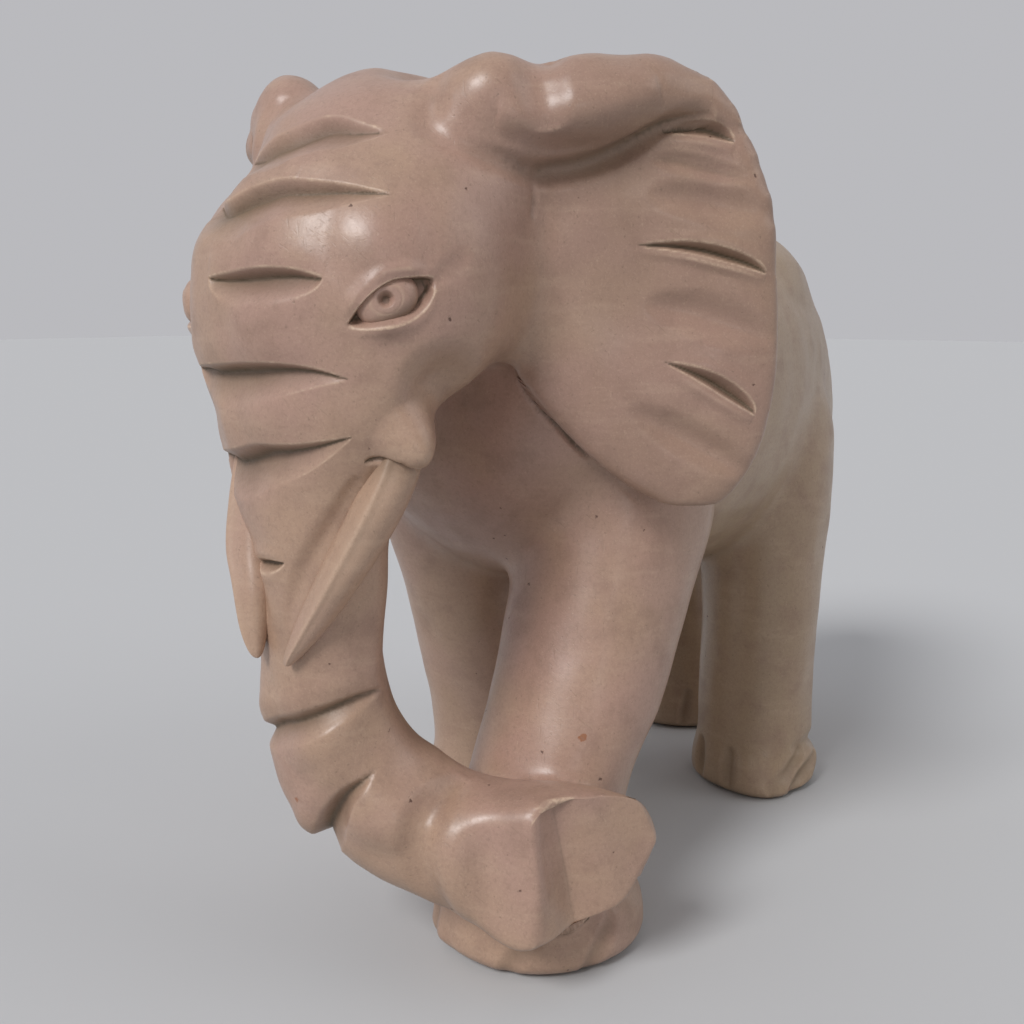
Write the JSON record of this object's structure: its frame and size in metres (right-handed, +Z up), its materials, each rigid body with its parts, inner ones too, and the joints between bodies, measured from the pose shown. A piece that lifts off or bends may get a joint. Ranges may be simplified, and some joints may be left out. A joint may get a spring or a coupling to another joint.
{
  "type": "elephant figurine",
  "caption": "Striding elephant carved from one block of pinkish tan soapstone, trunk curled to the left forefoot.",
  "frame": {"origin": "middle of the footprint of the whole carving, on the table it stands on", "axes": "+Z up; the elephant faces -Y; its left side is +X"},
  "size_m": [0.1106, 0.1835, 0.1482],
  "materials": {
    "soapstone": "satin",
    "soapstone_worn": "satin"
  },
  "bodies": {
    "root": {"torso": "soapstone", "head": "soapstone", "trunk": "soapstone", "ear_left": "soapstone", "ear_right": "soapstone", "tusk_left": "soapstone_worn", "tusk_right": "soapstone_worn", "eye_left": "soapstone_worn", "eye_right": "soapstone_worn", "foreleg_left": "soapstone", "foreleg_right": "soapstone", "hindleg_left": "soapstone", "hindleg_right": "soapstone", "forefoot_left": "soapstone", "forefoot_right": "soapstone", "hindfoot_left": "soapstone", "hindfoot_right": "soapstone", "tail": "soapstone"}
  },
  "joints": []
}
